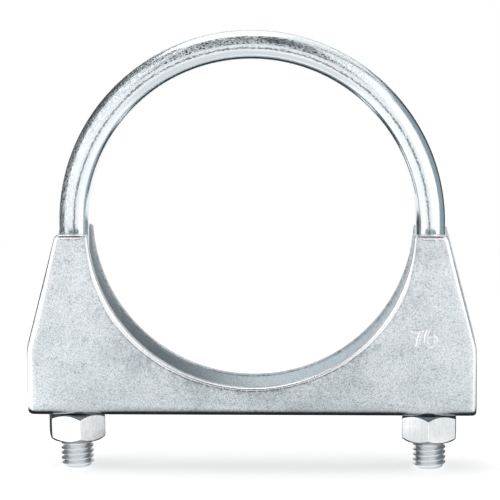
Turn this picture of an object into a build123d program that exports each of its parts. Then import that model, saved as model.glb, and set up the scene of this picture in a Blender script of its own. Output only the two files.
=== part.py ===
from build123d import *
import os

# Exhaust clamp: a pressed saddle, a U-bolt round the pipe and two hexagon nuts.
# Millimetres. The origin is on the pipe's axis, midway between the saddle's faces.
# +X runs to the right along the saddle, +Y along the pipe to the far cheek, +Z up towards the bow.

# Driving sizes of the saddle
seat_radius = 38.5
sheet = 2.5
saddle_width = 17.0
bend_inside = 1.2
seat_above_base = 7.2
ear_below_axis = 1.7
ear_beside_leg = 3.85
foot_beside_leg = 11.05
skirt_height = 16.5
shoulder_round = 10.0
ear_round = 1.6
lip_round = 0.8
edge_bevel = 0.5

# Driving sizes of the U-bolt
rod_diameter = 7.0
bow_clearance = 0.3
thread_diameter = 7.8
thread_pitch = 1.25
thread_length = 30.0
thread_below_nut = 6.85
end_chamfer = 0.9

# Driving sizes of the nuts
across_flats = 12.8
nut_height = 6.8
chamfer_angle = 30.0
face_share_of_flats = 0.95
left_turn = 11.2
right_turn = -3.0

# Clearances
hole_clearance = 0.6
thread_clearance = 0.05
nut_gap = 0.05

# Places that follow from the sizes
rod_radius = rod_diameter / 2
thread_radius = thread_diameter / 2
leg_x = seat_radius + bow_clearance + rod_radius
ear_x = leg_x + ear_beside_leg
foot_x = leg_x + foot_beside_leg
ear_z = -ear_below_axis
base_z = -(seat_radius + seat_above_base)
skirt_z = base_z + skirt_height
nut_top_z = base_z - nut_gap
nut_bottom_z = nut_top_z - nut_height
leg_end_z = nut_bottom_z - thread_below_nut
thread_top_z = leg_end_z + thread_length


def round_corners(outline, places, radius):
    """Rounds the corners of a flat outline that lie at the given places."""
    corners = [v for v in outline.vertices() if any(abs(v.center() - p) < 0.01 for p in places)]
    return fillet(corners, radius)


def make_channel():
    """The bent sheet before trimming: its U-shaped section drawn out along X."""
    half = saddle_width / 2
    inner = half - sheet
    floor_z = base_z + sheet
    outside = make_face(Polyline((-half, base_z), (half, base_z), (half, ear_z), (-half, ear_z), close=True))
    outside = round_corners(outside, [Vector(s * half, base_z) for s in (-1, 1)], bend_inside + sheet)
    inside = make_face(Polyline((-inner, floor_z), (inner, floor_z), (inner, ear_z), (-inner, ear_z), close=True))
    inside = round_corners(inside, [Vector(s * inner, floor_z) for s in (-1, 1)], bend_inside)
    return extrude(Plane.YZ * (outside - inside), foot_x, both=True)


def make_cheek_outline():
    """The trimmed outline seen along the pipe: ears, slanted shoulders, upright skirts and the seat."""
    points = [(ear_x, ear_z), (foot_x, skirt_z), (foot_x, base_z)]
    mirrored = [(-x, z) for x, z in reversed(points)]
    outline = make_face(Polyline(*points, *mirrored, close=True))
    outline = round_corners(outline, [Vector(s * foot_x, skirt_z) for s in (-1, 1)], shoulder_round)
    outline = round_corners(outline, [Vector(s * ear_x, ear_z) for s in (-1, 1)], ear_round)
    outline -= Circle(seat_radius)
    lip_x = (seat_radius**2 - ear_below_axis**2) ** 0.5
    return round_corners(outline, [Vector(s * lip_x, ear_z) for s in (-1, 1)], lip_round)


def make_saddle():
    """The whole pressing: channel, trim, bolt holes and the softened outer side of the sheared edges."""
    body = make_channel() & extrude(Plane.XZ * make_cheek_outline(), saddle_width / 2, both=True)
    for side in (-1, 1):
        body -= Pos(side * leg_x, 0, base_z) * Cylinder(thread_radius + hole_clearance, 3 * sheet)
    on_skin = [e for e in body.edges() if abs(abs(e.center().Y) - saddle_width / 2) < 0.01]
    bend_top = base_z + sheet + bend_inside
    return chamfer([e for e in on_skin if e.center().Z > bend_top + 0.01], edge_bevel)


def make_threaded_leg(side):
    """The thicker threaded end of one leg, with a tapered run-out above and a chamfered end below."""
    point_radius = thread_radius - end_chamfer
    profile = Polyline(
        (0, leg_end_z),
        (point_radius, leg_end_z),
        (thread_radius, leg_end_z + end_chamfer),
        (thread_radius, thread_top_z - thread_pitch),
        (rod_radius, thread_top_z),
        (0, thread_top_z),
        close=True,
    )
    return Pos(side * leg_x, 0, 0) * revolve(Plane.XZ * make_face(profile), Axis.Z)


def make_u_bolt():
    """The bent rod: one round section swept down a leg, round the bow and down the other leg."""
    down = Line((-leg_x, 0, thread_top_z), (-leg_x, 0, 0))
    bow = ThreePointArc((-leg_x, 0, 0), (0, 0, leg_x), (leg_x, 0, 0))
    up = Line((leg_x, 0, 0), (leg_x, 0, thread_top_z))
    start = Plane((-leg_x, 0, thread_top_z), z_dir=(0, 0, 1))
    rod = sweep(start * Circle(rod_radius), path=Wire([down, bow, up]))
    return rod + make_threaded_leg(-1) + make_threaded_leg(1)


def make_nut(side, turn):
    """A hexagon nut chamfered on both faces, with a countersunk bore, turned about its leg."""
    corner_radius = across_flats / 3**0.5
    face_radius = across_flats / 2 * face_share_of_flats
    drop = (corner_radius - face_radius) * tan(chamfer_angle)
    blank = extrude(Rot(0, 0, 90) * RegularPolygon(corner_radius, 6), nut_height)
    envelope = Polyline(
        (0, 0),
        (face_radius, 0),
        (corner_radius, drop),
        (corner_radius, nut_height - drop),
        (face_radius, nut_height),
        (0, nut_height),
        close=True,
    )
    body = blank & revolve(Plane.XZ * make_face(envelope), Axis.Z)
    bore_radius = thread_radius + thread_clearance
    body -= Pos(0, 0, nut_height / 2) * Cylinder(bore_radius, 2 * nut_height)
    mouths = [e for e in body.edges().filter_by(GeomType.CIRCLE) if abs(e.radius - bore_radius) < 0.01]
    body = chamfer(mouths, thread_pitch / 3)
    return Pos(side * leg_x, 0, nut_bottom_z) * Rot(0, 0, turn) * body


def tan(degrees):
    """Tangent of an angle in degrees, from a line drawn at that angle."""
    run = Vector(1, 0, 0).rotate(Axis.Z, degrees)
    return run.Y / run.X


nodes = {
    "saddle": make_saddle(),
    "u_bolt": make_u_bolt(),
    "nut_left": make_nut(-1, left_turn),
    "nut_right": make_nut(1, right_turn),
}

os.makedirs("parts", exist_ok=True)
for name, shape in nodes.items():
    export_step(shape, f"parts/{name}.step")
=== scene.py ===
import math
import bpy
import numpy as np
from mathutils import Matrix, Vector


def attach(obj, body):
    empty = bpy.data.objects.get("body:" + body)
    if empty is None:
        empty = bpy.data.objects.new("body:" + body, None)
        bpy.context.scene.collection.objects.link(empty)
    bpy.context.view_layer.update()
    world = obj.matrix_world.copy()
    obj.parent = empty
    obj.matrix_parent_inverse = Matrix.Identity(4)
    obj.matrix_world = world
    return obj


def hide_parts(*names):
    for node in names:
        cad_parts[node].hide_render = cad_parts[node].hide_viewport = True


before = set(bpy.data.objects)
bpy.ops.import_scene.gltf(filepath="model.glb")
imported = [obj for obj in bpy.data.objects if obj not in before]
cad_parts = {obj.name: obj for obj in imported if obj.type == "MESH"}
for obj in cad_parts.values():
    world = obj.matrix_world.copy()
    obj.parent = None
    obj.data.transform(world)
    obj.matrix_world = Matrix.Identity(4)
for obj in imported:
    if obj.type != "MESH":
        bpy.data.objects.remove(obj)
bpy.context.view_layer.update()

mm = 0.001  # sizes below are in millimetres, Blender's are in metres
print("frame loaded:", sorted(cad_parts))

# Sizes that several pieces share; the origin is the common centre of the seat and the bow
clamp = {
    "seatRadius": 38.5,
    "baseZ": -45.7,
    "halfWidth": 8.5,
    "legX": 42.3,
    "legEnd": -59.4,
    "rodRadius": 3.5,
}


# Meshes from arrays of points

def gridFaces(rows, columns, ring=False, start=0):
    # quads between the neighbours of a rows x columns grid of point numbers;
    # ring joins its last column to the first
    row = np.arange(rows - 1)[:, None] * columns
    column = np.arange(columns if ring else columns - 1)
    beside = (column + 1) % columns
    corners = [row + column, row + beside, row + columns + beside, row + columns + column]
    return (np.stack(corners, axis=-1).reshape(-1, 4) + start).tolist()


def gridRim(order):
    # the point numbers round the border of a grid of point numbers
    return np.concatenate([order[0], order[1:, -1], order[-1, ::-1][1:], order[1:-1, 0][::-1]])


def stripFaces(low, high):
    # quads between two closed loops of point numbers
    return np.stack([low, np.roll(low, -1), np.roll(high, -1), high], axis=1).tolist()


def fanFaces(middle, rim):
    # triangles from one middle point to each side of a closed rim of point numbers
    return np.stack([np.full(len(rim), middle), rim, np.roll(rim, -1)], axis=1).tolist()


def enclosedVolume(points, faces):
    # sum of the signed tetrahedra between the origin and the triangles that fan out of each face
    corners = np.array([[face[0], face[i], face[i + 1]] for face in faces for i in range(1, len(face) - 1)])
    first, second, third = (points[corners[:, i]] for i in range(3))
    return float(np.einsum("ij,ij->i", first, np.cross(second, third)).sum() / 6)


def addMesh(name, points, faces):
    # an object at the origin with these points, in millimetres, and faces
    mesh = bpy.data.meshes.new(name)
    mesh.from_pydata((np.asarray(points, dtype=float) * mm).tolist(), [], faces)
    mesh.update()
    thing = bpy.data.objects.new(name, mesh)
    bpy.context.scene.collection.objects.link(thing)
    return thing


def buildPiece(name, points, faces, body, material):
    # a smooth closed piece whose faces point outwards, riding on a CAD body
    if enclosedVolume(points, faces) < 0:
        faces = [face[::-1] for face in faces]
    piece = addMesh(name, points, faces)
    piece.data.polygons.foreach_set("use_smooth", np.ones(len(faces), dtype=bool))
    piece.data.update()
    piece.data.materials.append(material)
    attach(piece, body)
    print(name, "has", len(points), "points and", len(faces), "faces")
    return piece


def addAttribute(piece, name, values):
    # one number or one vector per point, which a material reads by name
    kind, field = ("FLOAT", "value") if values.ndim == 1 else ("FLOAT_VECTOR", "vector")
    layer = piece.data.attributes.new(name, kind, "POINT")
    layer.data.foreach_set(field, np.ascontiguousarray(values, dtype=np.float32).ravel())


def shadeEvenly(piece):
    # each point's normal leans towards its largest faces, and sharp edges stay sharp
    evenShade = piece.modifiers.new("evenShade", "WEIGHTED_NORMAL")
    evenShade.keep_sharp = True


# Shader maths

class Wire:
    # one output socket; + - * / between wires and numbers add Math nodes, and add() makes any other node
    def __init__(self, tree, socket=None):
        self.tree = tree
        self.socket = socket

    def add(self, kind, settings, sockets, output=0):
        node = self.tree.nodes.new(kind)
        for key, value in settings.items():
            if key == "stops":
                fillRamp(node.color_ramp.elements, value)
            else:
                setattr(node, key, value)
        for key, value in sockets.items():
            if isinstance(value, Wire):
                self.tree.links.new(value.socket, node.inputs[key])
            else:
                node.inputs[key].default_value = value
        return Wire(self.tree, node.outputs[output] if len(node.outputs) else None)

    def math(self, operation, first, second, clamped=False):
        settings = {"operation": operation, "use_clamp": clamped}
        return self.add("ShaderNodeMath", settings, {0: first, 1: second})

    def __add__(self, other):
        return self.math("ADD", self, other)

    def __radd__(self, other):
        return self.math("ADD", other, self)

    def __sub__(self, other):
        return self.math("SUBTRACT", self, other)

    def __rsub__(self, other):
        return self.math("SUBTRACT", other, self)

    def __mul__(self, other):
        return self.math("MULTIPLY", self, other)

    def __truediv__(self, other):
        return self.math("DIVIDE", self, other)


def fillRamp(elements, stops):
    # stops are (position, grey) pairs in rising order
    while len(elements) < len(stops):
        elements.new(1.0)
    for element, (position, grey) in zip(elements, stops):
        element.position = position
        element.color = colour(grey, grey, grey)


def startMaterial(name):
    # a material with an empty node tree, and a wire to build from
    material = bpy.data.materials.new(name)
    material.use_nodes = True
    material.node_tree.nodes.clear()
    return material, Wire(material.node_tree)


def closeMaterial(shader):
    # the shader goes to the material's surface
    shader.add("ShaderNodeOutputMaterial", {}, {"Surface": shader})


def closeMetal(tone, metallic, rough, normal):
    # a surface of that colour, share of metal, roughness and normal
    sockets = {"Base Color": tone, "Metallic": metallic, "Roughness": rough, "Normal": normal}
    closeMaterial(tone.add("ShaderNodeBsdfPrincipled", {}, sockets))


def objectPlace(begin):
    # the place in the frame, in metres
    return begin.add("ShaderNodeTexCoord", {}, {}, "Object")


def attributeOf(begin, name, output):
    # what addAttribute kept: Fac gives one number, Vector three
    return begin.add("ShaderNodeAttribute", {"attribute_name": name}, {}, output)


def partOf(vector, axis):
    # a vector's X, Y or Z
    return vector.add("ShaderNodeSeparateXYZ", {}, {0: vector}, axis)


def noise(place, scale, detail, roughness):
    # soft noise between 0 and 1, with about scale grains to a unit of the place
    sockets = {"Vector": place, "Scale": scale, "Detail": detail, "Roughness": roughness}
    return place.add("ShaderNodeTexNoise", {}, sockets, "Fac")


def cloud(place, size, detail, roughness):
    # noise whose grains are about size millimetres across
    return noise(place, 1.0 / (size * mm), detail, roughness)


def streaks(place, fineness, detail, roughness):
    # noise with its own number of grains to a unit along each axis, so that it runs longer one way
    drawnOut = place.add("ShaderNodeMapping", {}, {"Vector": place, "Scale": fineness})
    return noise(drawnOut, 1.0, detail, roughness)


def ramp(value, stops):
    # straight lines through the stops
    return value.add("ShaderNodeValToRGB", {"stops": stops}, {"Fac": value}, "Color")


def blendColours(share, first, second):
    # first colour where share is 0, second where it is 1
    settings = {"data_type": "RGBA", "blend_type": "MIX", "clamp_factor": True}
    return share.add("ShaderNodeMix", settings, {0: share, 6: first, 7: second}, 2)


def bump(height, depth, strength):
    # a normal from a height of 0 to 1 that stands for depth millimetres
    return height.add("ShaderNodeBump", {}, {"Strength": strength, "Distance": depth * mm, "Height": height})


def colour(red, green, blue):
    return (red, green, blue, 1.0)


# Zinc finishes, with painted shade and painted highlights where noted: Marks are ramps from a value to how
# strongly it marks or paints the surface, and a Share is how far a mark moves the colour towards another

sheetFinish = {
    "light": colour(0.815, 0.858, 0.88),
    "dull": colour(0.24, 0.285, 0.315),
    # painted light: the inner skin is painted paler, standing in for light inside the channel
    "inside": colour(0.885, 0.955, 0.985),
    # painted shade for the left of the inner skin
    "shaded": colour(0.16, 0.205, 0.23),
    # burnished roll: partly its own brighter metal, partly a painted highlight on the rim and on the number's
    # walls
    "rolled": colour(0.94, 0.95, 0.96),
    # painted shade: the dark line in the crease inside the rim, on the burr, on the number's right walls and
    # along the bottom of the bend
    "creaseShade": colour(0.08, 0.085, 0.09),
    "grain": (0.24, 3.0, 0.75),  # size in millimetres, detail and roughness of a noise
    "patch": (9.0, 4.0, 0.6),
    "dashes": (0.9, 3.0, 0.6),
    "pocks": (0.8, 2.0, 0.6),
    "ticks": (0.5, 2.0, 0.6),
    "grainTurn": (0.5, 0.7, 0.3),
    "drawn": ((120.0, 1500.0, 4200.0), 3.0, 0.5),  # grains to a metre along x, y and z, detail and roughness
    "grainMarks": [(0.43, 0.0), (0.51, 1.0)],
    "patchMarks": [(0.40, 0.0), (0.70, 1.0)],
    "pockMarks": [(0.62, 0.0), (0.72, 1.0)],
    "tickMarks": [(0.43, 0.0), (0.52, 1.0)],
    "dashMarks": [(0.46, 0.0), (0.62, 1.0)],
    # draw lines along the bottom of the bend, partly painted shade there
    "drawnShadeMarks": [(0.40, 0.6), (0.62, 0.0)],
    "lowShadeMarks": [(0.05, 1.0), (0.75, 0.0)],  # painted shade, darkest at the base and gone by the given height above it
    "lowShadeHeight": 40.0,
    "rubMarks": [(0.0, 1.0), (0.20, 0.35), (1.0, 0.0)],  # over rubWidth beside the seat
    "rubWidth": 12.0,
    "leftShadeMarks": [(0.30, 0.84), (0.37, 0.64), (0.44, 0.30), (0.52, 0.0)],  # painted shade on the inner skin's left, over leftSpan from left to right
    "leftSpan": 100.0,
    "dashShare": 0.6,
    "patchShare": 0.18,
    "grainShare": 0.60,
    # how far the painted shade towards the base darkens the colour
    "lowShadeShare": 0.17,
    "rubShare": 0.50,
    "pockShare": 0.35,
    "insideClean": 0.7,
    "insideLitShare": 0.65,
    "insideGrain": 0.25,
    "insideMatt": 0.8,
    "rolledSheenShare": 0.9,
    "roughness": 0.34,
    "patchRoughness": 0.10,
    "grainRoughness": 0.20,
    "rolledPolish": 0.20,
    "insideRoughness": 0.20,
    "grainDepth": 0.06,
    "bumpStrength": 0.8,
}


def makeSheetZinc():
    # rolled sheet under zinc: fine speckle, broader dull clouds, painted shade that grows towards the base,
    # rubbed marks beside the seat, a burnished rim with a painted highlight and a broken dark line of painted
    # shade inside it, draw lines with painted shade along the bottom of the bend, and an inner skin painted
    # paler as painted light, with painted shade on its left
    material, begin = startMaterial("sheetZinc")
    f = sheetFinish
    place = objectPlace(begin)
    edgeMarks = attributeOf(begin, "edgeMarks", "Vector")
    rolled, creaseShade, bent = (partOf(edgeMarks, axis) for axis in "XYZ")
    inside = attributeOf(begin, "insideMark", "Fac")
    x, z = partOf(place, "X") / mm, partOf(place, "Z") / mm
    turned = begin.add("ShaderNodeMapping", {}, {"Vector": place, "Rotation": f["grainTurn"]})
    grain = cloud(turned, *f["grain"])
    patch, dashes, pocks, ticks = (cloud(place, *f[name]) for name in ("patch", "dashes", "pocks", "ticks"))
    drawn = streaks(place, *f["drawn"])

    speckle = ramp(grain, f["grainMarks"])
    dullness = ramp(patch, f["patchMarks"])
    # painted shade: the cheeks grow darker towards the base
    low = ramp((z - clamp["baseZ"]) / f["lowShadeHeight"], f["lowShadeMarks"])
    fromSeat = begin.math("POWER", x * x + z * z, 0.5) - clamp["seatRadius"]
    rubbing = ramp(dashes * f["dashShare"] + patch * (1 - f["dashShare"]), f["dashMarks"])
    rubbed = ramp(fromSeat / f["rubWidth"], f["rubMarks"]) * rubbing
    pocked = ramp(pocks, f["pockMarks"])
    share = dullness * f["patchShare"] + (1.0 - speckle) * f["grainShare"] + low * f["lowShadeShare"]
    share = share + rubbed * f["rubShare"] + pocked * f["pockShare"]

    tone = blendColours(share * (1.0 - inside * f["insideClean"]), f["light"], f["dull"])
    # painted light: the inner skin is painted paler, towards a near-white colour
    insideLitShare = inside * (f["insideLitShare"] + speckle * (1 - f["insideLitShare"]))
    tone = blendColours(insideLitShare, tone, f["inside"])
    # painted shade on the left of the inner skin
    shadeOnLeft = ramp(x / f["leftSpan"] + 0.5, f["leftShadeMarks"])
    tone = blendColours(inside * shadeOnLeft * (1.0 - speckle * f["insideGrain"]), tone, f["shaded"])
    tone = blendColours(inside * (1.0 - speckle) * f["insideGrain"], tone, f["dull"])
    # burnished roll, brightened by a painted highlight
    tone = blendColours(rolled * f["rolledSheenShare"], tone, f["rolled"])
    # painted shade in the crease inside the rim, on the burr and on the number's right walls
    tone = blendColours(creaseShade * ramp(ticks, f["tickMarks"]), tone, f["creaseShade"])
    # draw lines along the bottom of the bend, darkened towards the painted shade colour
    tone = blendColours(bent * ramp(drawn, f["drawnShadeMarks"]), tone, f["creaseShade"])

    face = f["roughness"] + (patch - 0.5) * f["patchRoughness"] + (grain - 0.5) * f["grainRoughness"]
    rough = face - (rolled + bent) * f["rolledPolish"] + inside * f["insideRoughness"]
    normal = bump(grain + bent * (drawn - grain), f["grainDepth"], f["bumpStrength"])
    closeMetal(tone, 1.0 - inside * f["insideMatt"], rough, normal)
    return material


rodFinish = {
    "light": colour(0.825, 0.88, 0.91),
    "dark": colour(0.22, 0.25, 0.27),
    # painted reflection: the colour of the thin dark line along the rod's near side
    "reflectionLine": colour(0.07, 0.08, 0.09),
    "thread": colour(0.88, 0.905, 0.925),
    "length": round(math.pi * clamp["legX"] - 2 * clamp["legEnd"], 1),  # half a circle and two legs
    "lines": ((2.4, 2.4, 0.12), 4.0, 0.6),  # grains to a millimetre, twice across and once along the rod
    "flecks": ((3.6, 3.6, 1.5), 3.0, 0.7),
    "worn": ((0.35, 0.35, 0.08), 2.0, 0.5),
    "wander": ((0.0, 0.0, 0.035), 1.0, 0.5),
    "frays": ((5.0, 5.0, 1.8), 3.0, 0.5),
    "lineMarks": [(0.45, 0.0), (0.70, 1.0)],
    "fleckMarks": [(0.49, 0.0), (0.55, 1.0)],
    "wornMarks": [(0.36, 0.40), (0.58, 1.0)],
    "runMarks": [(0.0, 0.60), (0.25, 0.90), (0.38, 0.85), (0.56, 0.80), (0.66, 0.12)],  # left leg to right
    "outerMarks": [(0.34, 0.08), (0.44, 1.0)],  # from the rod's inner side to its outer side
    "frontMarks": [(0.5, 0.0), (0.8, 1.0)],  # from the rod's middle to its near side
    "reflectionLineMarks": [(0.05, 1.0), (0.32, 0.0)],  # millimetres from the painted dark reflection line
    "reflectionLinePlace": -0.35,
    "reflectionLineWander": 0.9,
    "reflectionLineFray": 1.3,
    "fleckShare": 0.05,
    "lineShare": 0.06,
    "reflectionLineShare": 0.8,
    # painted shade in the thread roots
    "rootShadeShare": 0.10,
    "rootShadeFleckShare": 0.45,
    "roughness": 0.12,
    "fleckRoughness": 0.33,
    "reflectionLineRoughness": 0.2,
    "lineRoughness": 0.06,
    "threadRoughness": 0.36,
    "lineHeight": 0.3,
    "pitDepth": 0.034,
    "bumpStrength": 0.9,
}


def makeRodZinc():
    # drawn and bent rod: glossy, with fine lines along its length, small matt flecks where the bending tool
    # rubbed the zinc, one thin broken dark line painted along the near side as a painted reflection, and
    # matter threads with painted shade in their roots
    material, begin = startMaterial("rodZinc")
    f = rodFinish
    along = attributeOf(begin, "rodPlace", "Vector")
    threaded = attributeOf(begin, "threadMark", "Fac")
    rootShaded = attributeOf(begin, "rootMark", "Fac")
    outward, toFar, run = (partOf(along, axis) for axis in "XYZ")
    lines, flecks, worn, wander, frays = (
        streaks(along, *f[name]) for name in ("lines", "flecks", "worn", "wander", "frays"))
    onOuterSide = ramp(outward / (2 * clamp["rodRadius"]) + 0.5, f["outerMarks"])
    patches = ramp(worn, f["wornMarks"]) * ramp(run / f["length"], f["runMarks"]) * onOuterSide
    pits = ramp(flecks, f["fleckMarks"]) * patches
    line = ramp(lines, f["lineMarks"])
    # painted reflection: a thin broken dark line along the rod's near side
    wandering = outward - f["reflectionLinePlace"] - (wander - 0.5) * f["reflectionLineWander"]
    aside = begin.math("ABSOLUTE", wandering, 0.0)
    frayed = aside + (frays - 0.5) * f["reflectionLineFray"]
    front = ramp(toFar / (-clamp["rodRadius"]), f["frontMarks"])
    reflectionLine = ramp(frayed, f["reflectionLineMarks"]) * front

    tone = blendColours(pits * f["fleckShare"] + line * f["lineShare"], f["light"], f["dark"])
    tone = blendColours(reflectionLine * f["reflectionLineShare"], tone, f["reflectionLine"])
    tone = blendColours(threaded, tone, f["thread"])
    # painted shade in the thread roots
    tone = blendColours(rootShaded * (f["rootShadeShare"] + flecks * f["rootShadeFleckShare"]), tone, f["dark"])

    plain = f["roughness"] + pits * f["fleckRoughness"] + reflectionLine * f["reflectionLineRoughness"]
    plain = plain + (lines - 0.5) * f["lineRoughness"]
    rough = plain + threaded * (f["threadRoughness"] - plain)
    normal = bump(pits * -1.0 + lines * f["lineHeight"], f["pitDepth"], f["bumpStrength"])
    closeMetal(tone, 1.0, rough, normal)
    return material


nutFinish = {
    "light": colour(0.90, 0.92, 0.935),
    "dull": colour(0.66, 0.71, 0.74),
    "bevel": colour(0.20, 0.235, 0.26),
    "lines": ((2600.0, 2600.0, 312.0), 3.0, 0.6),  # grains to a metre along x, y and z, detail and roughness
    "spots": (1.4, 4.0, 0.6),  # size in millimetres, detail and roughness
    "lineMarks": [(0.45, 0.0), (0.65, 1.0)],
    "spotMarks": [(0.45, 0.0), (0.75, 1.0)],
    "lineShare": 0.25,
    "spotShare": 0.4,
    "bevelShare": 0.85,
    "bevelSpots": 1.2,
    "roughness": 0.20,
    "lineRoughness": 0.12,
    "spotRoughness": 0.10,
    "lineHeight": 0.7,
    "grainDepth": 0.03,
    "bumpStrength": 0.5,
}


def makeNutZinc():
    # cold-formed hexagon under zinc: satin flats with fine upright lines, a few dull spots and dark bevels
    material, begin = startMaterial("nutZinc")
    f = nutFinish
    place = objectPlace(begin)
    bevel = attributeOf(begin, "bevelMark", "Fac")
    lines = streaks(place, *f["lines"])
    spots = cloud(place, *f["spots"])
    share = ramp(spots, f["spotMarks"]) * f["spotShare"]
    share = share + ramp(lines, f["lineMarks"]) * f["lineShare"]
    tone = blendColours(share, f["light"], f["dull"])
    tone = blendColours(bevel * (f["bevelShare"] + (spots - 0.5) * f["bevelSpots"]), tone, f["bevel"])
    rough = f["roughness"] + (lines - 0.5) * f["lineRoughness"] + (spots - 0.5) * f["spotRoughness"]
    height = lines * f["lineHeight"] + spots * (1 - f["lineHeight"])
    closeMetal(tone, 1.0, rough, bump(height, f["grainDepth"], f["bumpStrength"]))
    return material


sheetZinc = makeSheetZinc()
rodZinc = makeRodZinc()
nutZinc = makeNutZinc()
print("finishes made")


# Saddle: one bent sheet with a rolled-over outer edge

saddle = {
    **clamp,
    "earX": 46.15,
    "earZ": -1.7,
    "footX": 53.35,
    "skirtZ": -29.2,
    "sheet": 2.5,
    "bendInside": 1.2,
    "shoulderRound": 10.0,
    "earRound": 1.6,
    "lipRound": 0.8,
    "holeRadius": 4.5,
    "rollOnSides": 1.5,
    "rollOnRightSide": 1.05,
    "rollOnEars": 1.0,
    "rollOnSeat": 0.55,
    "rollBesideSeat": 0.8,
    "besideSeat": (1.6, 0.5),  # slope and start of the wider roll, in seat radii from the middle
    "widenOver": 14.0,
    "rollDepth": 0.5,
    "rollDepthOnSides": 0.85,
    "rollWobble": 0.10,
    "wobbleSeed": 7,
    "wobbleAboveSkirt": 3.0,
    "wobbleOnSeat": 5.0,
    "smoothing": 2,
    "creaseWidth": 0.2,
    "creaseUnderSeat": 0.34,
    "underSeat": (2.4, 3.0),  # start and slope of the wider crease, in seat radii from the middle
    "creaseDepth": 0.03,
    "creaseOnSeat": (1.3, 0.9),  # start and slope of its painted shade, in seat radii from the middle
    "creaseOnEars": 0.8,
    "creaseOnSides": 0.15,
    "fadeWidth": 0.9,
    "fadeBelowEars": 6.0,
    "fadeShine": 0.5,
    "lipReach": 1.6,
    "earBand": 0.3,
    "earInset": 1.8,
    "burrRound": 0.2,
    "burrShade": 0.25,
    "bendMarkTop": 1.8,
    "sharpAngle": 40.0,
    "stepsOnHalfSeat": 48,
    "stepsOnRounds": 9,
    "stepsOnEar": 7,
    "stepsOnSlant": 12,
    "stepsOnShoulder": 8,
    "stepsOnBurr": 5,
    "stepsOnRoll": 9,
    "rowsOnCheek": 16,
    "rowsOnBend": 10,
    "rowsOnWeb": 10,
    "holeSides": 72,
    "punchPast": 3.0,
}
bendOutside = saddle["bendInside"] + saddle["sheet"]
webHalf = saddle["halfWidth"] - bendOutside  # from the web's middle to where the bend starts
bendTop = webHalf + bendOutside * math.pi / 2  # running length where the upright cheek starts


def arcPoints(centre, radius, fromAngle, toAngle, steps):
    # points at equal angles on a circle, both ends included
    angle = np.linspace(fromAngle, toAngle, steps)
    return np.stack([centre[0] + radius * np.cos(angle), centre[1] + radius * np.sin(angle)], axis=1)


def linePoints(start, end, steps):
    # points at equal spaces on a straight line, without its two ends
    share = np.linspace(0, 1, steps + 2)[1:-1, None]
    return np.array(start) * (1 - share) + np.array(end) * share


def halfOutline():
    # the trimmed edge of a cheek from the seat's lowest point to the top of the skirt, as (x, z) points:
    # seat arc, round lip, flat ear, round corner, slanted side and the wide round into the upright skirt
    s = saddle
    lipZ = s["earZ"] - s["lipRound"]
    lipX = math.sqrt((s["seatRadius"] + s["lipRound"]) ** 2 - lipZ ** 2)
    lipAngle = math.atan2(lipZ, lipX)
    seat = arcPoints((0, 0), s["seatRadius"], -math.pi / 2, lipAngle, s["stepsOnHalfSeat"])
    lip = arcPoints((lipX, lipZ), s["lipRound"], lipAngle + math.pi, math.pi / 2, s["stepsOnRounds"])
    slant = math.atan2(s["earZ"] - s["skirtZ"], s["footX"] - s["earX"])  # of the slanted side above the base
    earGap = s["earRound"] * math.tan(slant / 2)
    earCentre = (s["earX"] - earGap, s["earZ"] - s["earRound"])
    lean = math.pi / 2 - slant
    ear = arcPoints(earCentre, s["earRound"], math.pi / 2, lean, s["stepsOnRounds"])
    drop = s["shoulderRound"] * math.tan(lean / 2)
    shoulderCentre = (s["footX"] - s["shoulderRound"], s["skirtZ"] - drop)
    shoulder = arcPoints(shoulderCentre, s["shoulderRound"], lean, 0.0, s["stepsOnShoulder"])
    earLine = linePoints(lip[-1], ear[0], s["stepsOnEar"])
    slantLine = linePoints(ear[-1], shoulder[0], s["stepsOnSlant"])
    return np.concatenate([seat, lip[1:], earLine, ear, slantLine, shoulder])


def sheetPath(run):
    # the sheet's outer skin in the (y, z) plane at a running length from the middle of the web:
    # flat web, quarter round of the bend, upright cheek; returns y, z and the outward direction
    side = np.sign(run)
    length = np.abs(run)
    angle = np.clip((length - webHalf) / bendOutside, 0, math.pi / 2)
    beyond = np.maximum(length - webHalf - bendOutside * math.pi / 2, 0)
    y = np.minimum(length, webHalf) + bendOutside * np.sin(angle)
    z = saddle["baseZ"] + bendOutside - bendOutside * np.cos(angle) + beyond
    return y * side, z, np.sin(angle) * side, -np.cos(angle)


def placeOnSheet(x, run, depth):
    # the point at x and running length, sunk by depth below the outer skin
    y, z, outY, outZ = sheetPath(run)
    return np.stack([x + 0 * y, y - depth * outY, z - depth * outZ], axis=-1)


def smoothRound(values):
    # running average of neighbours on a closed loop
    for _ in range(saddle["smoothing"]):
        values = (np.roll(values, 1) + 2 * values + np.roll(values, -1)) / 4
    return values


def blankRows():
    # the flat blank: x and running length along the far cheek's trimmed edge, left to right, then the running
    # lengths of the rows down that cheek, and of those round its bend, across the web and round the near bend
    half = halfOutline()
    top = np.concatenate([half[::-1] * [-1, 1], half[1:]])
    topRun = bendTop + top[:, 1] - (saddle["baseZ"] + bendOutside)
    cheekRows = np.linspace(topRun[0], bendTop, saddle["rowsOnCheek"])
    bendRows = np.linspace(bendTop, webHalf, saddle["rowsOnBend"])[1:]
    webRows = np.linspace(webHalf, -webHalf, saddle["rowsOnWeb"])[1:-1]
    return top[:, 0], topRun, cheekRows, np.concatenate([bendRows, webRows, -bendRows[::-1]])


def blankLoop(topX, topRun, endRows):
    # closed outline of the blank (far cheek, right end, near cheek, left end) as x and running length, and
    # the direction inwards at each point: the line between its two neighbours, turned square
    rows = len(endRows)
    loopX = np.concatenate([topX, np.full(rows - 1, topX[-1]), topX[::-1][1:], np.full(rows - 2, topX[0])])
    loopRun = np.concatenate([topRun, endRows[1:], -topRun[::-1][1:], endRows[::-1][1:-1]])
    tangentX = np.roll(loopX, -1) - np.roll(loopX, 1)
    tangentRun = np.roll(loopRun, -1) - np.roll(loopRun, 1)
    size = np.hypot(tangentX, tangentRun)
    return loopX, loopRun, tangentRun / size, -tangentX / size


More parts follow.
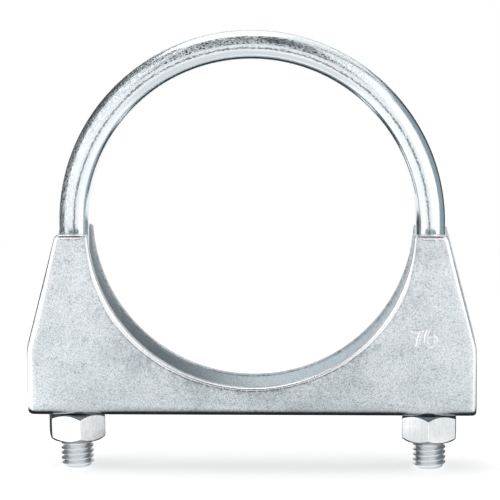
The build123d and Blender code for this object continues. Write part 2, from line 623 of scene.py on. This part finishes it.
def edgeRows(loopX, loopRun):
    # rows across the blank's edge, from the inner skin over the burr, the cut wall and the roll to the outer
    # skin, each with its distance inwards, its depth, how far it is burnished and brightened by a painted
    # highlight, and how much painted shade it takes. The roll is narrow under the seat, wider up its sides
    # and on the ears, widest down the skirts, and a little uneven. The dark line of painted shade inside it
    # is strongest under the seat and on the ears, and fades out down the sides.
    s = saddle
    height = s["baseZ"] + bendOutside + np.abs(loopRun) - bendTop
    onSeat = np.hypot(loopX, height) < s["seatRadius"] + s["lipRound"] * s["lipReach"]
    onEar = (height > s["earZ"] - s["earBand"]) & (np.abs(loopX) < s["earX"] - s["earInset"]) & ~onSeat
    belowEar = height < s["earZ"] - s["fadeBelowEars"]
    aside = np.abs(loopX) / s["seatRadius"]
    belowLip = np.clip((s["earZ"] - 2 * s["lipRound"] - height) / s["widenOver"], 0, 1)
    slope, start = s["besideSeat"]
    onSeatRoll = s["rollOnSeat"] + s["rollBesideSeat"] * np.clip(aside * slope - start, 0, 1) * belowLip
    widest = np.where(loopX > 0, s["rollOnRightSide"], s["rollOnSides"])
    onSideRoll = s["rollOnEars"] + (widest - s["rollOnEars"]) * belowLip
    roll = np.where(onSeat, onSeatRoll, np.where(onEar, s["rollOnEars"], onSideRoll))
    onSlant = belowEar & (height > s["skirtZ"] + s["wobbleAboveSkirt"])
    wobbly = onSlant | onSeat & (height < s["skirtZ"] + s["wobbleOnSeat"])
    uneven = smoothRound(np.random.default_rng(s["wobbleSeed"]).normal(size=len(roll)) * wobbly)
    roll = smoothRound(roll) * (1 + s["rollWobble"] * uneven)
    onLip = onSeat & (height > s["earZ"] - 2 * s["lipRound"])
    roll = np.where(onLip, np.minimum(roll, s["rollOnSeat"]), roll)

    # painted shade of the dark line inside the roll
    start, slope = s["creaseOnSeat"]
    offSeat = np.where(onEar, s["creaseOnEars"], s["creaseOnSides"])
    dark = smoothRound(np.where(onSeat, np.clip(start - slope * aside, 0, 1), offSeat))
    fade = smoothRound(np.where(~onSeat & belowEar, 1.0, 0.0))
    start, slope = s["underSeat"]
    fadeEnd = s["creaseWidth"] + (s["fadeWidth"] - s["creaseWidth"]) * fade
    fadeEnd = fadeEnd + s["creaseUnderSeat"] * onSeat * np.clip(start - slope * aside, 0, 1)
    rollDepth = s["rollDepth"] + (s["rollDepthOnSides"] - s["rollDepth"]) * fade

    none = 0 * roll
    rows = [(roll, s["sheet"], none, none)]
    for a in np.linspace(0, math.pi / 2, s["stepsOnBurr"]):
        inwards, depth = s["burrRound"] * (1 - math.sin(a)), s["sheet"] - s["burrRound"] * (1 - math.cos(a))
        rows.append((none + inwards, depth, none, s["burrShade"] * onSeat))
    rows.append((none, s["sheet"] / 2, none, none))
    for a in np.linspace(0, math.pi / 2, s["stepsOnRoll"])[:-1]:
        rows.append((roll * (1 - math.cos(a)), rollDepth * (1 - math.sin(a)), none + 1, none))
    # the crease row: a painted highlight where the edge fades, and the painted shade of the dark line
    rows.append((roll, s["creaseDepth"], fade * s["fadeShine"], dark))
    rows.append((roll + fadeEnd, 0, none, none))
    return rows


def makeSaddle():
    # two skins on one grid of x and running length, joined round the blank's outline by the rows of its edge
    s = saddle
    topX, topRun, cheekRows, lowRows = blankRows()
    endRows = np.concatenate([cheekRows, lowRows, -cheekRows[::-1]])
    columns, rows = len(topX), len(endRows)
    loopX, loopRun, inX, inRun = blankLoop(topX, topRun, endRows)
    edge = edgeRows(loopX, loopRun)
    rings = [placeOnSheet(loopX + inX * row[0], loopRun + inRun * row[0], row[1]) for row in edge]

    # upright columns between the edge rows of the far and the near cheek
    insideX = (loopX + inX * edge[-1][0])[:columns]
    insideRun = (loopRun + inRun * edge[-1][0])[:columns]
    share = ((topRun[0] - cheekRows) / (topRun[0] - bendTop))[:, None]
    cheekGrid = insideRun * (1 - share) + bendTop * share
    runGrid = np.concatenate([cheekGrid, np.repeat(lowRows[:, None], columns, 1), -cheekGrid[::-1]])
    outer, inner = (placeOnSheet(insideX, runGrid, depth).reshape(-1, 3) for depth in (0.0, s["sheet"]))
    count = rows * columns
    rim = gridRim(np.arange(count).reshape(rows, columns))
    outer[rim], inner[rim] = rings[-1], rings[0]
    middle = np.concatenate(rings[1:-1])
    points = np.concatenate([outer, inner, middle])

    faces = gridFaces(rows, columns)
    faces += [face[::-1] for face in gridFaces(rows, columns, start=count)]
    loops = [2 * count + i * len(rim) + np.arange(len(rim)) for i in range(len(rings) - 2)]
    for low, high in zip([rim + count] + loops, loops + [rim]):
        faces += stripFaces(low, high)

    onSkins = np.zeros(2 * count)
    # the roll's burnish and painted highlight, and the painted shade of the dark line round the edge
    rolled, creaseShade = (np.concatenate([onSkins] + [row[part] for row in edge[1:-1]]) for part in (2, 3))
    aboveBase = points[:, 2] - s["baseZ"]
    # bottom of the bend, where the draw lines carry painted shade
    bent = np.clip(s["bendMarkTop"] - aboveBase, 0, 1) * (np.abs(points[:, 1]) > webHalf)
    inside = np.concatenate([np.zeros(count), np.ones(count), np.zeros(len(middle))])
    return points, faces, np.stack([rolled, creaseShade, bent], axis=1), inside


saddlePoints, saddleFaces, saddleEdges, saddleInside = makeSaddle()
pressedSaddle = buildPiece("pressedSaddle", saddlePoints, saddleFaces, "saddle", sheetZinc)
addAttribute(pressedSaddle, "edgeMarks", saddleEdges)
addAttribute(pressedSaddle, "insideMark", saddleInside)
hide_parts("saddle")


def punchHole(piece, x):
    # a round hole through the web: an upright drum is taken out of the sheet
    s = saddle
    sides = s["holeSides"]
    around = np.linspace(0, 2 * math.pi, sides, endpoint=False)
    ring = np.stack([x + s["holeRadius"] * np.cos(around), s["holeRadius"] * np.sin(around)], axis=1)
    low, high = s["baseZ"] - s["punchPast"], s["baseZ"] + s["sheet"] + s["punchPast"]
    points = np.concatenate([
        np.insert(ring, 2, low, axis=1), np.insert(ring, 2, high, axis=1), [[x, 0, low], [x, 0, high]]])
    faces = gridFaces(2, sides, ring=True) + fanFaces(2 * sides, np.arange(sides)[::-1])
    faces += fanFaces(2 * sides + 1, np.arange(sides, 2 * sides))
    punch = addMesh("punch", points, faces)
    cut = piece.modifiers.new("hole", "BOOLEAN")
    cut.object, cut.operation, cut.solver = punch, "DIFFERENCE", "EXACT"
    shape = bpy.data.meshes.new_from_object(piece.evaluated_get(bpy.context.evaluated_depsgraph_get()))
    piece.modifiers.clear()
    piece.data = shape
    bpy.data.objects.remove(punch)


for sideX in (-clamp["legX"], clamp["legX"]):
    punchHole(pressedSaddle, sideX)
pressedSaddle.data.set_sharp_from_angle(angle=math.radians(saddle["sharpAngle"]))
shadeEvenly(pressedSaddle)
print("saddle bent and punched")


# Size number: the pipe's outer size in millimetres, raised on the near cheek

number = {
    "height": 0.18,
    "sunk": 0.06,
    "under": 0.6,
    "strokeWidth": 0.82,
    "wallWidth": 0.50,
    "cell": 0.05,
    "margin": 0.7,
    "stepsToPoint": 24,
    # painted highlight on the tops of the strokes, beside the one on their walls
    "topShine": 0.2,
    "wallShade": (1.6, 3.0),  # start and slope of the painted shade on the right walls, as the front rises
    # up-facing walls are made matt and painted paler, as painted light
    "mattLitWalls": 0.8,
    "strokes": [  # (x, z) points of the 7's bar and stem and of the 6
        [(38.15, -24.60), (40.25, -24.57)],
        [(40.25, -24.62), (39.75, -25.75), (39.42, -26.84), (39.22, -28.05)],
        [(41.76, -24.47), (41.37, -25.39), (41.21, -26.35), (41.28, -27.15), (41.73, -27.83), (42.45, -28.03),
         (43.20, -27.75), (43.62, -27.10), (43.55, -26.35), (43.05, -25.80), (42.40, -25.65), (41.75, -25.95),
         (41.30, -26.65)],
    ],
}


def curveThrough(corners, steps):
    # a smooth line through the points: each span's four neighbours are weighted by cubics of its share
    p = np.array(corners, dtype=float)
    p = np.concatenate([2 * p[:1] - p[1:2], p, 2 * p[-1:] - p[-2:-1]])
    t = np.linspace(0, 1, steps)[:, None, None]
    weights = [
        -t + 2 * t ** 2 - t ** 3, 2 - 5 * t ** 2 + 3 * t ** 3, t + 4 * t ** 2 - 3 * t ** 3, t ** 3 - t ** 2]
    spans = sum(w * p[i:len(p) - 3 + i] for i, w in enumerate(weights)) / 2
    return spans.transpose(1, 0, 2).reshape(-1, 2)


def makeNumber():
    # a closed slab sunk in the cheek, whose front rises along the strokes: the height is a smooth step of the
    # distance to the nearest stroke's middle line
    n = number
    lines = np.concatenate([curveThrough(stroke, n["stepsToPoint"]) for stroke in n["strokes"]])
    low, high = lines.min(axis=0) - n["margin"], lines.max(axis=0) + n["margin"]
    gridX, gridZ = np.meshgrid(np.arange(low[0], high[0], n["cell"]), np.arange(low[1], high[1], n["cell"]))
    squares = (gridX[..., None] - lines[:, 0]) ** 2 + (gridZ[..., None] - lines[:, 1]) ** 2
    away = np.sqrt(squares.min(axis=-1))
    share = np.clip((n["strokeWidth"] / 2 - away) / n["wallWidth"] + 0.5, 0, 1)
    rise = (n["height"] + n["sunk"]) * share * share * (3 - 2 * share) - n["sunk"]
    toTop, toRight = np.gradient(rise, n["cell"])
    # painted highlight on the stroke walls and a little on their tops
    wallSheen = np.maximum(4 * share * (1 - share), n["topShine"] * share)
    # painted shade on the right walls
    start, slope = n["wallShade"]
    shade = np.clip(-toRight, 0, 1) * np.clip(start - slope * share, 0, 1)
    # up-facing walls: matt, and painted paler through the inner skin's colour, as painted light
    mattLitTops = np.clip(-n["mattLitWalls"] * toTop, 0, 1).ravel()
    marks = np.stack([wallSheen, shade, 0 * share], axis=-1).reshape(-1, 3)
    front = np.stack([gridX, -clamp["halfWidth"] - rise, gridZ], axis=-1).reshape(-1, 3)
    back = np.stack([gridX, 0 * gridX - clamp["halfWidth"] + n["under"], gridZ], axis=-1).reshape(-1, 3)
    rows, columns = gridX.shape
    count = rows * columns
    rim = gridRim(np.arange(count).reshape(rows, columns))
    faces = gridFaces(rows, columns) + [face[::-1] for face in gridFaces(rows, columns, start=count)]
    faces += stripFaces(rim + count, rim)
    points = np.concatenate([front, back])
    return points, faces, np.concatenate([marks, 0 * marks]), np.concatenate([mattLitTops, 0 * mattLitTops])


numberPoints, numberFaces, numberMarks, numberMattLit = makeNumber()
sizeNumber = buildPiece("sizeNumber", numberPoints, numberFaces, "saddle", sheetZinc)
# the walls carry painted highlight and painted shade, and the up-facing walls painted light
addAttribute(sizeNumber, "edgeMarks", numberMarks)
addAttribute(sizeNumber, "insideMark", numberMattLit)


# U-bolt: one rod with a rolled thread on each leg

bolt = {
    **clamp,
    "threadTop": -29.4,
    "crestRadius": 3.9,
    "rootRadius": 3.13,
    "pitch": 1.25,
    "flank": 0.443,
    "crestFlat": 0.078,
    "softCorners": 0.6,
    "rootShade": 0.2,
    "endBevel": 0.9,
    "endRing": 0.94,
    "stepsPerPitch": 16,
    "stepsOnLeg": 12,
    "stepsOnBow": 168,
    "around": 56,
}


def threadRadius(height, turns):
    # radius of a right-hand thread at a height and a share of a turn about the leg: flat crests and roots,
    # straight flanks with soft corners, a run-out into the rod at the top and a bevel at the end of the leg
    b = bolt
    phase = (height - b["legEnd"]) / b["pitch"] - turns
    away = np.abs(phase - np.round(phase)) * b["pitch"]
    ridge = np.clip((b["crestFlat"] + b["flank"] - away) / b["flank"], 0, 1)
    ridge = (1 - b["softCorners"]) * ridge + b["softCorners"] * ridge * ridge * (3 - 2 * ridge)
    full = b["rootRadius"] + (b["crestRadius"] - b["rootRadius"]) * ridge
    share = np.clip((b["threadTop"] - height) / b["pitch"], 0, 1)
    radius = b["rodRadius"] + (full - b["rodRadius"]) * share
    return np.minimum(radius, b["crestRadius"] - b["endBevel"] + height - b["legEnd"])


def centreLine():
    # x and z of the rod's middle up the left leg, round the bow and down the right leg, and x and z of the
    # direction outwards: sideways on the legs, along the radius on the bow
    b = bolt
    threadSteps = round((b["threadTop"] - b["legEnd"]) / b["pitch"] * b["stepsPerPitch"]) + 1
    legHeights = np.concatenate([
        np.linspace(b["legEnd"], b["threadTop"], threadSteps),
        np.linspace(b["threadTop"], 0, b["stepsOnLeg"] + 1)[1:]])
    bowAngle = np.linspace(math.pi, 0, b["stepsOnBow"] + 1)[1:-1]
    leg = np.ones(len(legHeights))
    centreX = np.concatenate([-b["legX"] * leg, b["legX"] * np.cos(bowAngle), b["legX"] * leg])
    centreZ = np.concatenate([legHeights, b["legX"] * np.sin(bowAngle), legHeights[::-1]])
    outX = np.concatenate([-leg, np.cos(bowAngle), leg])
    outZ = np.concatenate([0 * leg, np.sin(bowAngle), 0 * leg])
    return centreX, centreZ, outX[:, None], outZ[:, None]


def makeBolt():
    # rings of points carried along the centre line, each end closed by a smaller ring and a middle point
    b = bolt
    centreX, centreZ, outX, outZ = centreLine()
    around = np.linspace(0, 2 * math.pi, b["around"], endpoint=False)
    towardX, towardY, towardZ = outX * np.cos(around), np.sin(around), outZ * np.cos(around)
    turns = np.arctan2(towardY, towardX) / (2 * math.pi)
    x, z = centreX[:, None], centreZ[:, None]
    radius = np.where(z < b["threadTop"], threadRadius(z, turns), b["rodRadius"])
    points = np.stack([x + radius * towardX, radius * towardY, z + radius * towardZ], -1)
    ends = points[[0, -1]]
    ends[..., 0] = x[[0, -1]] + (ends[..., 0] - x[[0, -1]]) * b["endRing"]
    ends[..., 1] *= b["endRing"]
    grid = np.concatenate([ends[:1], points, ends[1:]]).reshape(-1, 3)
    middles = [[-b["legX"], 0, b["legEnd"]], [b["legX"], 0, b["legEnd"]]]

    # what the finish reads: outwards, towards the far side and the length along the rod, in millimetres
    run = np.concatenate([[0], np.cumsum(np.hypot(np.diff(centreX), np.diff(centreZ)))])[:, None]
    section = b["rodRadius"] * np.cos(around), b["rodRadius"] * np.sin(around)
    place = np.stack(np.broadcast_arrays(*section, run), -1)
    place = np.concatenate([place[:1], place, place[-1:]]).reshape(-1, 3)
    middlePlaces = [[0, 0, 0], [0, 0, run[-1, 0]]]

    rows = len(centreX) + 2
    count = rows * b["around"]
    faces = gridFaces(rows, b["around"], ring=True)
    faces += fanFaces(count, np.arange(b["around"])[::-1])
    faces += fanFaces(count + 1, np.arange(count - b["around"], count))
    return np.concatenate([grid, middles]), faces, np.concatenate([place, middlePlaces])


boltPoints, boltFaces, boltPlaces = makeBolt()
bentBolt = buildPiece("bentBolt", boltPoints, boltFaces, "u_bolt", rodZinc)
threadMark = np.clip(bolt["threadTop"] - boltPoints[:, 2], 0, 1)
fromLeg = np.hypot(np.abs(boltPoints[:, 0]) - bolt["legX"], boltPoints[:, 1])
# how far each point lies down in a thread root, for the painted shade there
rootDepth = np.clip((bolt["rootRadius"] + bolt["rootShade"] - fromLeg) / bolt["rootShade"], 0, 1)
addAttribute(bentBolt, "rodPlace", boltPlaces)
addAttribute(bentBolt, "threadMark", threadMark)
addAttribute(bentBolt, "rootMark", threadMark * rootDepth)
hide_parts("u_bolt")
print("bolt bent and threaded")


# Nuts: hexagons bevelled on both faces, with countersunk bores

nut = {
    "acrossFlats": 12.8,
    "height": 6.8,
    "gap": 0.05,
    "cornerRound": 0.3,
    "faceRadius": 6.08,
    "bevelAngle": 39.0,
    "boreRadius": 3.95,
    "countersink": 0.42,
    "edgeRound": 0.16,
    "edgeShare": 0.4,
    "stepsOnEdge": 5,
    "stepsOnCorner": 5,
    "stepsOnFlat": 12,
    "turns": {"left": 11.2, "right": -3.0},
}

# from the nut's middle to the middle of a corner's arc, and half the angle that the arc takes up from there
arcMiddle = (nut["acrossFlats"] / 2 - nut["cornerRound"]) / math.cos(math.pi / 6)
arcHalf = math.atan2(nut["cornerRound"] / 2, arcMiddle + nut["cornerRound"] * math.cos(math.pi / 6))


def hexagonRadius(angle):
    # distance from the middle to a hexagon's side, with each corner replaced by a small arc
    fromCorner = np.abs((angle + math.pi / 6) % (math.pi / 3) - math.pi / 6)
    inArc = np.maximum(nut["cornerRound"] ** 2 - (arcMiddle * np.sin(fromCorner)) ** 2, 0)
    arc = arcMiddle * np.cos(fromCorner) + np.sqrt(inArc)
    return np.where(fromCorner < arcHalf, arc, nut["acrossFlats"] / 2 / np.cos(math.pi / 6 - fromCorner))


def nutProfile(outer):
    # radius and height of the nut's section at every angle, as a closed run: bore, countersink, face, bevel,
    # flat and back; each corner is a quadratic curve between points a little before and after it
    n = nut
    bevel = (outer - n["faceRadius"]) * math.tan(math.radians(n["bevelAngle"]))
    bore, sink, face, tall = n["boreRadius"], n["countersink"], n["faceRadius"], n["height"]
    below = [(bore, sink), (bore + sink, 0), (face, 0), (outer, bevel)]
    above = [(radius, tall - height) for radius, height in below[::-1]]
    corners = np.array([np.broadcast_arrays(*pair, outer)[:2] for pair in below + above])

    def towards(side):
        way = np.roll(corners, side, axis=0) - corners
        size = np.linalg.norm(way, axis=1, keepdims=True)
        return corners + way * np.minimum(n["edgeRound"] / size, n["edgeShare"])

    start, end = towards(1), towards(-1)
    curves = [start * (1 - t) ** 2 + corners * 2 * t * (1 - t) + end * t * t
              for t in np.linspace(0, 1, n["stepsOnEdge"])]
    return np.stack(curves, axis=1).reshape(-1, 2, len(outer))


def makeNut(legX, turn):
    # the section carried round the leg through six corners and flats; the bevels run between the section's
    # corners 2 and 3 and its corners 4 and 5
    corner = np.linspace(-arcHalf, arcHalf, nut["stepsOnCorner"])
    flat = np.linspace(arcHalf, math.pi / 3 - arcHalf, nut["stepsOnFlat"])[1:-1]
    angle = (np.arange(6)[:, None] * math.pi / 3 + np.concatenate([corner, flat])).ravel()
    profile = nutProfile(hexagonRadius(angle))
    turned = angle + math.radians(turn + 30)
    bottom = clamp["baseZ"] - nut["gap"] - nut["height"]
    radius, height = profile[:, 0], profile[:, 1]
    points = np.stack([legX + radius * np.cos(turned), radius * np.sin(turned), bottom + height], axis=-1)
    rows, columns = radius.shape
    alongCorners = (np.arange(rows) - nut["stepsOnEdge"] // 2) / nut["stepsOnEdge"]
    onBevel = (alongCorners >= 2) & (alongCorners <= 3) | (alongCorners >= 4) & (alongCorners <= 5)
    faces = gridFaces(rows, columns, ring=True)
    faces += stripFaces(np.arange(columns) + (rows - 1) * columns, np.arange(columns))
    return points.reshape(-1, 3), faces, np.repeat(onBevel, columns)


for side, legX in (("left", -clamp["legX"]), ("right", clamp["legX"])):
    nutPoints, nutFaces, nutMarks = makeNut(legX, nut["turns"][side])
    hexNut = buildPiece(side + "HexNut", nutPoints, nutFaces, "nut_" + side, nutZinc)
    addAttribute(hexNut, "bevelMark", nutMarks)
    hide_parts("nut_" + side)
    shadeEvenly(hexNut)
print("nuts made")


# Floor, lamps and camera

def atAzimuth(azimuth, distance, height):
    # a place at an azimuth from the front, left negative, and a distance from the object's upright axis
    turn = math.radians(azimuth)
    return (distance * math.sin(turn), -distance * math.cos(turn), height)


studio = {
    "floorHalf": 3000.0,
    "floorTone": 0.9,
    "floorLift": 0.40,
    "liftStart": 60.0,
    "liftEnd": 320.0,
    "worldTone": 0.5,
    "darkTint": colour(0.82, 1.0, 1.1),
    "lamps": [  # name, place, width, height, brightness
        ("softLeft", atAzimuth(-55.0, 620.0, 150.0), 560.0, 420.0, 1.1),
        ("softRight", atAzimuth(55.0, 620.0, 150.0), 560.0, 420.0, 1.1),
        ("softTop", (-250.0, 60.0, 560.0), 700.0, 700.0, 1.2),
    ],
    # cards that only polished metal sees: a bright one is white, and a flag or shade is a cool dark grey
    "wallCards": [  # name, brightness, (x, y) of both ends, height of the lower and the upper edge
        ("flagBackLeft", 0.08, (-240, -56), (-140, 330), -59, 290),
        ("shadeRight", 0.36, (250, -50), (215, 140), -59, 190),
        ("flagBackRight", 0.06, (215, 140), (140, 330), -59, 190),
        ("cardLeft", 1.25, (-88, -174), (-213, -80), -59, 60),
        ("cardRight", 1.25, (88, -170), (214, -52), -59, 60),
        ("cardHighLeft", 1.25, (-215, -430), (-430, 60), 60, 520),
        ("cardHighRight", 1.25, (215, -430), (400, -40), 60, 520),
        ("cardNutLeft", 1.4, (-76, -17), (-53, -37), -59, -42),
        ("cardNutRight", 0.87, (78, -10), (62, -32), -59, -42),
        ("cardBack", 1.0, (-138, 335), (138, 335), -59, 90),
        ("flagBackTop", 0.35, (-138, 335), (138, 335), 90, 200),
    ],
    "floorCards": [  # name, brightness, x from left to right, y from near to far, height
        # painted shadow: the dark cards under the object, and the grey floorShade, stand in for its shadow in
        # reflections
        ("flagBelowLeft", 0.04, (-75, -47), (-9, 60), -59.2),
        ("flagBelow", 0.04, (-37.5, 37.5), (-9, 60), -59.2),
        ("flagBelowRight", 0.04, (47, 75), (-9, 60), -59.2),
        ("cardUnderLeft", 1.0, (-47, -37.5), (-30, 30), -59.25),
        ("cardUnderRight", 1.0, (37.5, 47), (-30, 30), -59.25),
        ("floorShade", 0.82, (-32, 32), (-140, 60), -59.3),
        ("flagFloorBack", 0.08, (-140, 140), (48, 86), -59.15),
        ("flagFloorRight", 0.20, (70, 250), (-30, 47), -59.15),
    ],
    "slantedCards": [  # name, brightness, four corners
        ("flagAbove", 0.05, [(-230, -520, 150), (175, -520, 150), (175, -80, 560), (-230, -80, 560)]),
        ("flagHighLeft", 0.07, [(-227, -172, 261), (-228, -10, 270), (-210, 68, 382), (-193, -99, 440)]),
        ("flagHighRight", 0.15, [(181, -113, 408), (161, -63, 460), (215, 91, 233), (250, 55, 211)]),
        ("cardNutMiddle", 1.45, [(3, -14, -59.1), (-30, -29, -59.1), (-34, -38, -59.1), (-1, -24, -59.1)]),
        ("cardAboveBack", 1.2, [(-420, 380, 600), (420, 380, 600), (420, 600, 300), (-420, 600, 300)]),
    ],
    "camera": {
        "target": (-0.467, 0.0, -6.663),
        "azimuth": 2.21,
        "elevation": 10.286,
        "roll": -0.295,
        "distance": 691.996,
        "focal": 2911.071,  # in pixels of an image that is imageSize wide
        "imageSize": 500.0,
        "sensorWidth": 36.0,
        "near": 0.01,  # metres
        "far": 20.0,
    },
}
white = colour(1, 1, 1)


def wallCorners(start, end, low, high):
    # corners of an upright card that stands over a line on the floor
    return [(*start, low), (*end, low), (*end, high), (*start, high)]


def floorCorners(fromLeft, fromNear, height):
    # corners of a level card
    (left, right), (near, far) = fromLeft, fromNear
    return [(left, near, height), (right, near, height), (right, far, height), (left, far, height)]


def addStage(name, corners, material):
    # a flat sheet through four corners, which isn't part of the object
    sheet = addMesh(name, corners, [[0, 1, 2, 3]])
    sheet.data.materials.append(material)
    return sheet


def seenRays(begin):
    # 1 for a ray from the lens, off a polished surface or through a clear one, 0 for a ray that only lights
    camera, glossy, clear = (
        begin.add("ShaderNodeLightPath", {}, {}, ray)
        for ray in ("Is Camera Ray", "Is Glossy Ray", "Is Transmission Ray"))
    return begin.math("ADD", camera + glossy, clear, clamped=True)


def makeFloorPaint():
    # matt white; a lens or a polished metal sees it lifted to plain white away from the object
    material, begin = startMaterial("floorPaint")
    seen = seenRays(begin)
    distance = begin.add("ShaderNodeVectorMath", {"operation": "LENGTH"}, {0: objectPlace(begin)}, "Value")
    away = begin.add("ShaderNodeMapRange", {"interpolation_type": "SMOOTHSTEP"}, {
        "Value": distance, "From Min": studio["liftStart"] * mm, "From Max": studio["liftEnd"] * mm})
    tone, lift = studio["floorTone"], studio["floorLift"]
    paint = begin.add("ShaderNodeBsdfDiffuse", {}, {"Color": colour(tone, tone, tone)})
    glow = begin.add("ShaderNodeEmission", {}, {"Color": white, "Strength": seen * lift})
    near = begin.add("ShaderNodeAddShader", {}, {0: paint, 1: glow})
    far = begin.add("ShaderNodeEmission", {}, {"Color": white, "Strength": 1.0})
    closeMaterial(begin.add("ShaderNodeMixShader", {}, {0: seen * away, 1: near, 2: far}))
    return material


def makeCardPaint(name, tone):
    # an even glow, tinted where it is dark
    material, begin = startMaterial(name)
    paint = studio["darkTint"] if tone < 0.5 else white
    closeMaterial(begin.add("ShaderNodeEmission", {}, {"Color": paint, "Strength": tone}))
    return material


def addCard(name, brightness, corners):
    # only reflections see it
    card = addStage(name, corners, makeCardPaint(name, brightness))
    card.visible_camera = card.visible_diffuse = card.visible_shadow = card.visible_transmission = False


def addLamp(name, place, width, tall, brightness):
    # a soft box of that surface brightness, facing the origin
    lamp = bpy.data.lights.new(name, "AREA")
    lamp.shape = "RECTANGLE"
    lamp.size, lamp.size_y = width * mm, tall * mm
    lamp.energy = brightness * math.pi * width * tall * mm * mm
    box = bpy.data.objects.new(name, lamp)
    box.location = Vector(place) * mm
    box.rotation_euler = (-Vector(place)).to_track_quat("-Z", "Y").to_euler()
    bpy.context.scene.collection.objects.link(box)


def makeRoom():
    # an even grey that lights the object, and that is white where it is seen
    world = bpy.data.worlds.new("room")
    world.use_nodes = True
    world.node_tree.nodes.clear()
    room = Wire(world.node_tree)
    tone = studio["worldTone"]
    strength = tone + seenRays(room) * (1.0 - tone)
    air = room.add("ShaderNodeBackground", {}, {"Color": white, "Strength": strength})
    room.add("ShaderNodeOutputWorld", {}, {"Surface": air})
    bpy.context.scene.world = world


def addCamera():
    # the lens is at its distance from the target, along the azimuth and elevation, and turned by the roll
    c = studio["camera"]
    azimuth, elevation, roll = (math.radians(c[key]) for key in ("azimuth", "elevation", "roll"))
    lens = bpy.data.cameras.new("lens")
    lens.sensor_width = c["sensorWidth"]
    lens.lens = c["focal"] / c["imageSize"] * c["sensorWidth"]
    lens.clip_start, lens.clip_end = c["near"], c["far"]
    camera = bpy.data.objects.new("camera", lens)
    aim = Matrix.Rotation(azimuth, 4, "Z") @ Matrix.Rotation(math.pi / 2 - elevation, 4, "X")
    aim = Matrix.Translation(Vector(c["target"]) * mm) @ aim @ Matrix.Rotation(roll, 4, "Z")
    camera.matrix_world = aim @ Matrix.Translation((0, 0, c["distance"] * mm))
    bpy.context.scene.collection.objects.link(camera)
    bpy.context.scene.camera = camera


floorSpan = (-studio["floorHalf"], studio["floorHalf"])
addStage("floor", floorCorners(floorSpan, floorSpan, clamp["legEnd"]), makeFloorPaint())
for name, brightness, *line in studio["wallCards"]:
    addCard(name, brightness, wallCorners(*line))
for name, brightness, *field in studio["floorCards"]:
    addCard(name, brightness, floorCorners(*field))
for name, brightness, corners in studio["slantedCards"]:
    addCard(name, brightness, corners)
for lamp in studio["lamps"]:
    addLamp(*lamp)
makeRoom()
addCamera()
bpy.context.scene.view_settings.view_transform = "Standard"
print("floor, lamps and camera placed")
